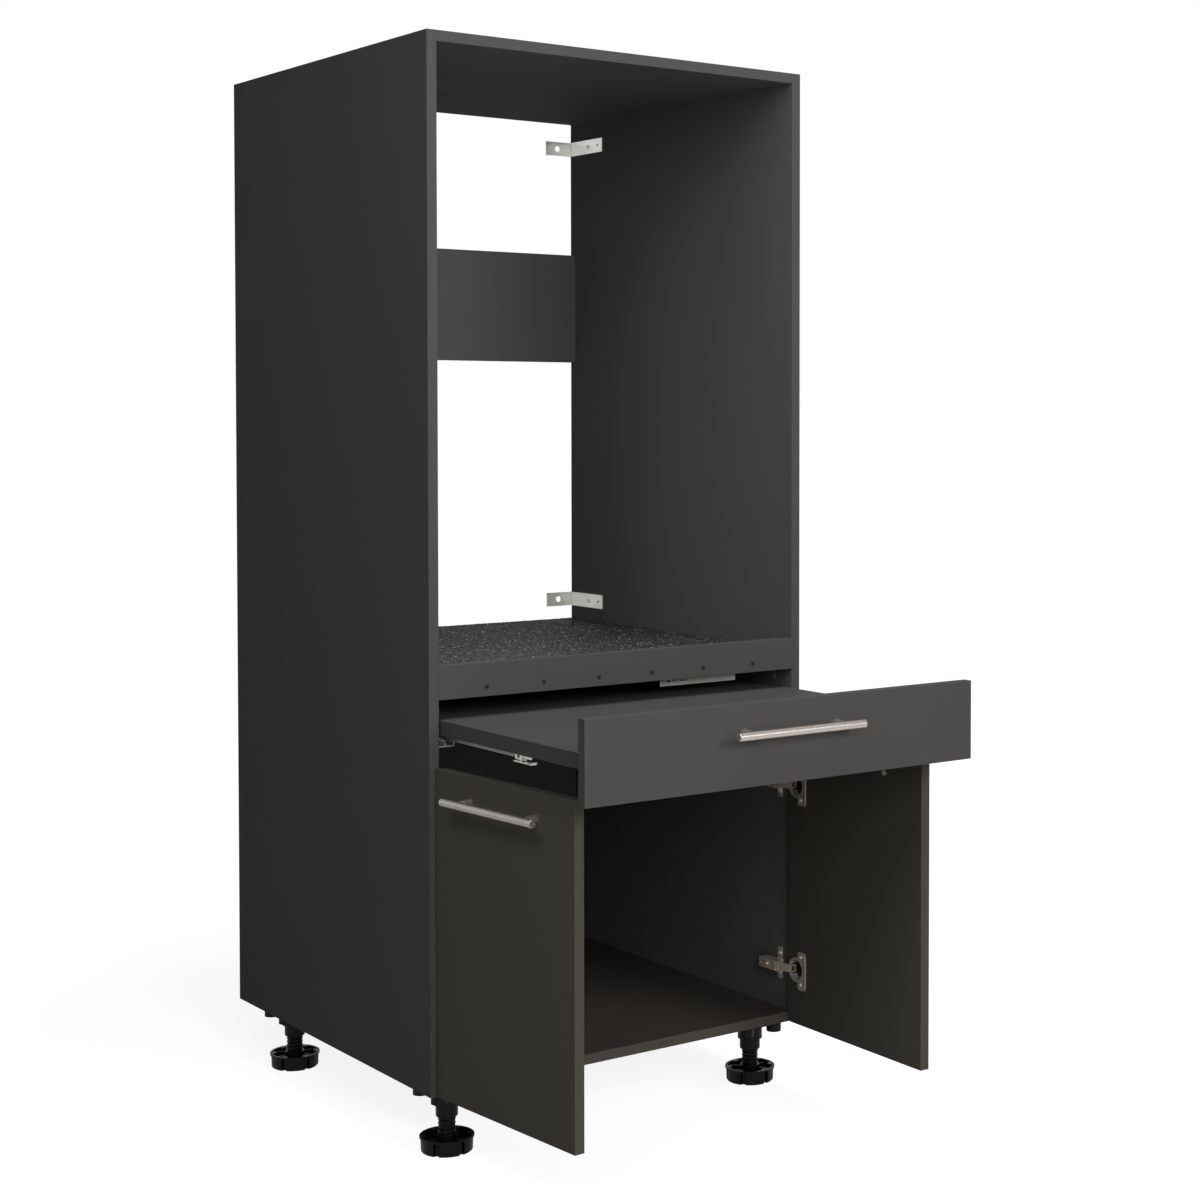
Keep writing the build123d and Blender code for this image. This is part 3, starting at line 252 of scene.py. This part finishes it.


# Painted shade: this mask marks the inside of the hinge cups, which is painted a dark brown that stands in for the
# shade in the cups.
def cup_shade_mask(tree, place, node):
    """1 inside a node's two hinge cups, else 0: nearer to a cup's axis than cup_reach, past the flange."""
    low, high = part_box(node)
    apart = add_node(tree, "SeparateXYZ", {0: place})
    height = reckoned(tree, "SUBTRACT", apart.outputs["Z"], (low.z + high.z) / 2)
    height = reckoned(tree, "SUBTRACT", reckoned(tree, "ABSOLUTE", height), cup_pitch / 2)
    along = reckoned(tree, "SUBTRACT", apart.outputs["Y"], cup_axis_y)
    flat = add_node(tree, "CombineXYZ", {0: along, 1: height}).outputs[0]
    radius = add_node(tree, "VectorMath", {0: flat}, operation="LENGTH").outputs["Value"]
    near = ranged(tree, radius, cup_reach - cup_blur, cup_reach, 1.0, 0.0)
    side = reckoned(tree, "ABSOLUTE", apart.outputs["X"])
    mouth = min(abs(low.x), abs(high.x)) + cup_flange
    deep = ranged(tree, side, mouth, mouth + cup_blur, 0.0, 1.0)
    return reckoned(tree, "MULTIPLY", near, deep)


def plated_steel(name, hex_colour, tint_hex, roughness, metallic, grain=(1.0, 1.0, 1.0), grain_size=0.7,
                 relief=0.06, shaded_cup=None):
    """Metal whose colour and gloss waver in patches, with a grain stretched along an axis.
    The last argument names a hinge cup node, whose inside is painted dark as shade."""
    material, tree, shader = new_material(name, Metallic=metallic)
    place = object_place(tree)
    patches = noise(tree, place, 1 / patch_size, 3.0)
    stretched = add_node(tree, "Mapping", {"Vector": place, "Scale": grain}).outputs[0]
    lines = noise(tree, stretched, 1 / (grain_size * millimetre), 3.0)
    patch = ranged(tree, patches, 0.35, 0.65, 0.0, 1.0)
    colour = mixed(tree, patch, linear(hex_colour), linear(tint_hex))
    if shaded_cup:
        # Painted shade: the cups' insides are painted dark brown.
        colour = mixed(tree, cup_shade_mask(tree, place, shaded_cup), colour, linear("#2b231b"))
    gloss = ranged(tree, lines, 0.25, 0.75, roughness - 0.07, roughness + 0.09)
    shaded(tree, shader, colour, gloss, lines, relief, 0.1 * millimetre)
    return material


zinc = plated_steel("zinc-plated sheet steel", "#eeeeea", "#f2f1ea", 0.32, metallic=0.9)
# Painted shade: the runners and the punched angle get a darker zinc, standing in for the shade under the boards.
shaded_rail_zinc = plated_steel("zinc-plated rail steel, darkened as shade", "#9a9a95", "#aeada5", 0.42, metallic=0.5)
screw_zinc = plated_steel("zinc-plated screw steel", "#e2e2de", "#e8e6dd", 0.32, metallic=0.5)
nickel_coat = ("#f2e9d9", "#f4ecdf", 0.3)
nickel = plated_steel("nickel-plated hinge steel", *nickel_coat, metallic=0.6)
nickel_left = plated_steel("nickel-plated left hinge cups", *nickel_coat, metallic=0.6, shaded_cup="hinge_cups_left")
nickel_right = plated_steel("nickel-plated right hinge cups", *nickel_coat, metallic=0.6,
                            shaded_cup="hinge_cups_right")
warm_nickel = plated_steel("nickel-plated hinge link", "#dccab6", "#e2d2c0", 0.3, metallic=0.55)
brush = {"metallic": 0.85, "grain_size": 0.5, "relief": 0.05}
stainless = plated_steel("brushed stainless tube", "#cfc7bf", "#d6cec6", 0.22, grain=(0.03, 1.0, 1.0), **brush)
# Painted shade: the door handles get a darker copy of the stainless colour, standing in for the duller light they
# get on the open doors.
stainless_shaded_doors = plated_steel("brushed stainless tube, darkened as shade on the doors", "#b6b1a8", "#bdb8af", 0.22,
                              grain=(1.0, 0.03, 1.0), **brush)

steel_finishes = {
    zinc: ["shelf_angle_left", "shelf_angle_right", "wall_bracket_upper_left", "wall_bracket_upper_right",
           "wall_bracket_lower_left", "wall_bracket_lower_right", "rail_clip_left", "rail_clip_right"],
    shaded_rail_zinc: ["cabinet_rail_left", "cabinet_rail_right", "slide_rail_left", "slide_rail_right", "punched_angle"],
    screw_zinc: ["wall_bracket_screws", "shelf_angle_screws", "runner_screws", "pullout_handle_screws",
                 "door_handle_screws_left", "door_handle_screws_right"],
    nickel: ["hinge_plates_left", "hinge_plates_right", "hinge_arms_left", "hinge_arms_right",
             "hinge_cup_screws_left", "hinge_cup_screws_right", "hinge_plate_screws"],
    nickel_left: ["hinge_cups_left"],
    nickel_right: ["hinge_cups_right"],
    warm_nickel: ["hinge_links_left", "hinge_links_right"],
    stainless: ["pullout_handle"],
    stainless_shaded_doors: ["door_handle_left", "door_handle_right"],
}
for material, names in steel_finishes.items():
    for node in names:
        finish(node, material)
print("kinds of steel:", len(steel_finishes))

# %% [markdown]
# ## Moulded plastic and wood
# The feet are black polypropylene from a mould with a light spark texture, so their
# highlights are soft and a little grainy. The roller cages are pale acetal. The dowels
# are beech, and the front rail's screws are steel with a black coat.

# %% Moulded plastic and small finishes
spark_size = 0.9 * millimetre
flow_size = 14 * millimetre


def moulded(name, hex_colour, roughness, specular):
    """Moulded plastic with a fine spark texture in its skin."""
    material, tree, shader = new_material(name, Specular_IOR_Level=specular)
    place = object_place(tree)
    spark = noise(tree, place, 1 / spark_size, 2.0)
    flow = noise(tree, place, 1 / flow_size, 1.0)
    base = linear(hex_colour)
    pale = [min(1.0, c * 1.25) for c in base[:3]] + [1.0]
    colour = mixed(tree, flow, base, pale)
    gloss = ranged(tree, flow, 0.3, 0.7, roughness - 0.05, roughness + 0.05)
    shaded(tree, shader, colour, gloss, spark, 0.15, 0.1 * millimetre)
    return material


def beech():
    """Turned beech: a pale pinkish brown with short darker flecks along the grain."""
    material, tree, shader = new_material("beech dowel", Roughness=0.55)
    place = object_place(tree)
    along = add_node(tree, "Mapping", {"Vector": place, "Scale": (0.15, 1.0, 1.0)}).outputs[0]
    flecks = noise(tree, along, 900.0, 3.0)
    colour = mixed(tree, ranged(tree, flecks, 0.35, 0.7, 0.0, 1.0), linear("#c9a57c"), linear("#a9825a"))
    tree.links.new(colour, shader.inputs["Base Color"])
    return material


black_plastic = moulded("moulded black polypropylene", "#050506", 0.36, specular=0.2)
cage_plastic = moulded("moulded acetal", "#d8d8d2", 0.4, specular=0.5)
black_screw = plated_steel("black-coated screw steel", "#1e1e1e", "#242423", 0.38, metallic=0.3)
small_finishes = {
    black_plastic: ["foot_sockets", "foot_front_left", "foot_front_right", "foot_rear_left", "foot_rear_right"],
    cage_plastic: ["roller_cage_left", "roller_cage_right"],
    black_screw: ["front_rail_screws", "foot_socket_screws"],
    beech(): ["carcass_dowels", "pullout_dowels"],
}
for material, names in small_finishes.items():
    for node in names:
        finish(node, material)
print("kinds of plastic, black screw and wood:", len(small_finishes))

# %% [markdown]
# ## The anti-slip mat
# The mat is pressed from rubber granulate: black crumbs of a few millimetres with paler
# ones among them. A bump map would leave its edge straight and its top smooth from the
# side, so the crumbs are real relief on a fine grid, with heights from smoothed random
# numbers, and the colour of each crumb comes from cells of the same size.

# %% Mesh helpers


def new_piece(name, points, faces, material, smooth=True):
    """A mesh object at the origin, whose points carry its place."""
    mesh = bpy.data.meshes.new(name)
    mesh.from_pydata([tuple(p) for p in points], [], [tuple(f) for f in faces])
    mesh.validate()
    mesh.materials.append(material)
    if smooth:
        mesh.polygons.foreach_set("use_smooth", np.ones(len(mesh.polygons), bool))
    piece = bpy.data.objects.new(name, mesh)
    bpy.context.scene.collection.objects.link(piece)
    return piece


def grid_faces(rows, columns):
    """Four-sided faces of a grid of points numbered row by row."""
    i = np.arange(rows - 1)[:, None]
    j = np.arange(columns - 1)[None, :]
    first = i * columns + j
    return np.stack([first, first + 1, first + columns + 1, first + columns], -1).reshape(-1, 4)


# %% [markdown]
# The mat's grid has one point to a crumb. Each point is shaken sideways by up to a quarter
# of a crumb, so that no rows show.

# %% The anti-slip mat
crumb = 2.3 * millimetre
crumb_relief = 1.5 * millimetre
rim_inset = 0.6 * millimetre
mat_low, mat_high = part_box("anti_slip_mat")
mat_rows = int((mat_high.y - mat_low.y) / crumb)
mat_columns = int((mat_high.x - mat_low.x) / crumb)
random = np.random.default_rng(7)


def crumb_field(rows, columns, passes):
    """Random heights from 0 to 1, each averaged with its four neighbours once per pass."""
    field = random.random((rows, columns))
    for _ in range(passes):
        around = np.roll(field, 1, 0) + np.roll(field, -1, 0) + np.roll(field, 1, 1) + np.roll(field, -1, 1)
        field = field * 0.5 + around * 0.125
    return (field - field.min()) / (field.max() - field.min())


def mat_mesh():
    """The top is z = high - crumb_relief * (1 - height), the skirt drops from its rim, and the
    foot is one flat face."""
    height = 0.65 * crumb_field(mat_rows, mat_columns, 0) + 0.35 * crumb_field(mat_rows, mat_columns, 6)
    y = np.linspace(mat_low.y + rim_inset, mat_high.y - rim_inset, mat_rows)[:, None]
    x = np.linspace(mat_low.x + rim_inset, mat_high.x - rim_inset, mat_columns)[None, :]
    shake = (random.random((2, mat_rows, mat_columns)) - 0.5) * 0.5 * crumb
    top = np.stack([x + shake[0] * np.ones_like(y), y + shake[1], mat_high.z - crumb_relief * (1 - height)], -1)
    top[..., 0] = np.clip(top[..., 0], mat_low.x, mat_high.x)
    top[..., 1] = np.clip(top[..., 1], mat_low.y, mat_high.y)
    index = np.arange(mat_rows * mat_columns).reshape(mat_rows, mat_columns)
    rim = np.concatenate([index[0, :-1], index[:-1, -1], index[-1, :0:-1], index[:0:-1, 0]])
    points = top.reshape(-1, 3)
    foot = points[rim].copy()
    foot[:, 2] = mat_low.z
    count = len(points)
    low = count + np.arange(len(rim))
    skirt = np.stack([rim, low, np.roll(low, -1), np.roll(rim, -1)], -1)
    faces = grid_faces(mat_rows, mat_columns).tolist() + skirt.tolist() + [low[::-1].tolist()]
    return np.concatenate([points, foot]), faces


def granulate():
    """Rubber crumbs in cells: mostly near black, some grey, a few nearly white."""
    material, tree, shader = new_material("rubber granulate", Specular_IOR_Level=0.12)
    place = object_place(tree)
    cells = add_node(tree, "TexVoronoi", {"Vector": place, "Scale": 1 / crumb})
    pick = add_node(tree, "SeparateXYZ", {0: cells.outputs["Color"]})
    ramp = add_node(tree, "ValToRGB", {0: pick.outputs[0]})
    ramp.color_ramp.interpolation = "CONSTANT"
    ramp.color_ramp.elements[0].color = linear("#2b2b2b")
    ramp.color_ramp.elements[1].color = linear("#f0efec")
    ramp.color_ramp.elements[1].position = 0.985
    for position, hex_colour in ((0.45, "#383838"), (0.75, "#494949"), (0.9, "#6d6d6b"), (0.955, "#9d9d9a")):
        ramp.color_ramp.elements.new(position).color = linear(hex_colour)
    rough = ranged(tree, pick.outputs[1], 0.0, 1.0, 0.45, 0.8)
    shaded(tree, shader, ramp.outputs[0], rough, noise(tree, place, 1500.0, 2.0), 0.3, 0.3 * millimetre)
    return material


mat_points, mat_faces = mat_mesh()
mat = new_piece("granulate_mat", mat_points, mat_faces, granulate())
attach(mat, "carcass")
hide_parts("anti_slip_mat")
finish("anti_slip_mat", mat.data.materials[0])
print("mat faces:", len(mat_faces))

# %% [markdown]
# ## Floor and surroundings
# A product like this is photographed on white. The floor is a plain pale plane: it looks
# white to the camera and in reflections, and keeps the soft shadow under the cabinet.
# Overhead the
# studio is a dimmer ceiling, which gives round metal its darker upper band.

# %% Floor and surroundings
floor_size = 60.0
floor_glow = 0.88
floor_mirrored = 0.4
lit_radius = 0.9
far_radius = 2.6
world_light = 0.02
ceiling_tone = 0.35
wall_mirrored = 0.8


def seen_or_mirrored(tree, mirrored):
    """1 for a ray from the camera or through glass, mirrored for one off a gloss, else 0."""
    path = add_node(tree, "LightPath")
    gloss = reckoned(tree, "MULTIPLY", path.outputs["Is Glossy Ray"], mirrored)
    first = reckoned(tree, "MAXIMUM", path.outputs["Is Camera Ray"], gloss)
    return reckoned(tree, "MAXIMUM", first, path.outputs["Is Transmission Ray"])


def floor_paint():
    """Matt grey paint with a glow that only the camera and mirrors see, so that it looks white.
    The glow grows from floor_glow to 1 with the distance from the cabinet, where the lamps fade."""
    material, tree, shader = new_material("pale studio floor", Roughness=0.9, Specular_IOR_Level=0.0)
    shader.inputs["Base Color"].default_value = linear("#a6a6a6")
    shader.inputs["Emission Color"].default_value = (1.0, 1.0, 1.0, 1.0)
    distance = add_node(tree, "VectorMath", {0: object_place(tree)}, operation="LENGTH").outputs["Value"]
    reach = ranged(tree, distance, lit_radius, far_radius, floor_glow, 1.0)
    glow = reckoned(tree, "MULTIPLY", reach, seen_or_mirrored(tree, floor_mirrored))
    tree.links.new(glow, shader.inputs["Emission Strength"])
    return material


half = floor_size / 2
floor_corners = [(-half, -half, 0), (half, -half, 0), (half, half, 0), (-half, half, 0)]
floor = new_piece("floor", floor_corners, [(0, 1, 2, 3)], floor_paint(), smooth=False)

world = bpy.data.worlds.new("studio")
bpy.context.scene.world = world
world.use_nodes = True
world_tree = world.node_tree
background = world_tree.nodes["Background"]
background.inputs["Color"].default_value = (1.0, 1.0, 1.0, 1.0)
sight_line = add_node(world_tree, "TexCoord").outputs["Generated"]
height = add_node(world_tree, "SeparateXYZ", {0: sight_line}).outputs["Z"]
seen = ranged(world_tree, height, 0.3, 0.7, 1.0, ceiling_tone)
share = seen_or_mirrored(world_tree, wall_mirrored)
strength = add_node(world_tree, "Mix", {0: share, 2: world_light, 3: seen}).outputs[0]
world_tree.links.new(strength, background.inputs["Strength"])

# %% [markdown]
# ## Lamps
# Five soft boxes light the cabinet: a key and a weaker one in front, one from the left,
# a wide one overhead, and a low one that reaches under the pull-out and into the cupboard.

# %% Lamps


def soft_lamp(name, place, target, width, height, watts):
    """A rectangular soft box at a place that faces a target."""
    light = bpy.data.lights.new(name, "AREA")
    light.shape = "RECTANGLE"
    light.size = width
    light.size_y = height
    light.energy = watts
    lamp = bpy.data.objects.new(name, light)
    lamp.location = place
    lamp.rotation_euler = (Vector(target) - Vector(place)).to_track_quat("-Z", "Y").to_euler()
    bpy.context.scene.collection.objects.link(lamp)


middle = (0.0, -0.2, 0.9)
soft_lamp("key soft box", (1.0, -3.6, 1.8), middle, 1.1, 1.1, 42.0)
soft_lamp("front soft box", (-1.2, -3.1, 1.7), middle, 1.2, 1.2, 24.0)
soft_lamp("left soft box", (-1.9, -1.7, 2.4), middle, 0.9, 0.9, 18.0)
soft_lamp("top soft box", (0.3, -1.2, 3.9), middle, 2.4, 1.6, 84.0)
soft_lamp("low soft box", (-0.7, -3.3, 0.45), (0.0, -0.2, 0.7), 2.0, 0.7, 10.0)
print("lamps:", len(bpy.data.lights))

# %% [markdown]
# ## Camera
# The camera stands in front of the cabinet and to its left, 1.1 m above the floor, at the
# photograph's angle. It is nearly level and shifted, which keeps the uprights upright.

# %% Camera
foot_height = 0.102
camera_place = Vector((-1.8173, -3.1097, 0.9930 + foot_height))
camera_heading = 0.6609
camera_tilt = -0.0311
camera_roll = 0.0014
focal_pixels = 2159.8
picture_pixels = 1200
centre_pixel = (800.0, 480.0)

camera_data = bpy.data.cameras.new("camera")
camera_data.sensor_width = 36.0
camera_data.lens = camera_data.sensor_width * focal_pixels / picture_pixels
camera_data.shift_x = (picture_pixels / 2 - centre_pixel[0]) / picture_pixels
camera_data.shift_y = (centre_pixel[1] - picture_pixels / 2) / picture_pixels
camera = bpy.data.objects.new("camera", camera_data)
camera.matrix_world = (Matrix.Translation(camera_place) @ Matrix.Rotation(-camera_heading, 4, "Z")
                       @ Matrix.Rotation(math.pi / 2 + camera_tilt, 4, "X") @ Matrix.Rotation(camera_roll, 4, "Z"))
bpy.context.scene.collection.objects.link(camera)
bpy.context.scene.camera = camera
bpy.context.scene.view_settings.view_transform = "Standard"
print("lens", round(camera_data.lens, 1), "mm, shift", camera_data.shift_x, camera_data.shift_y)
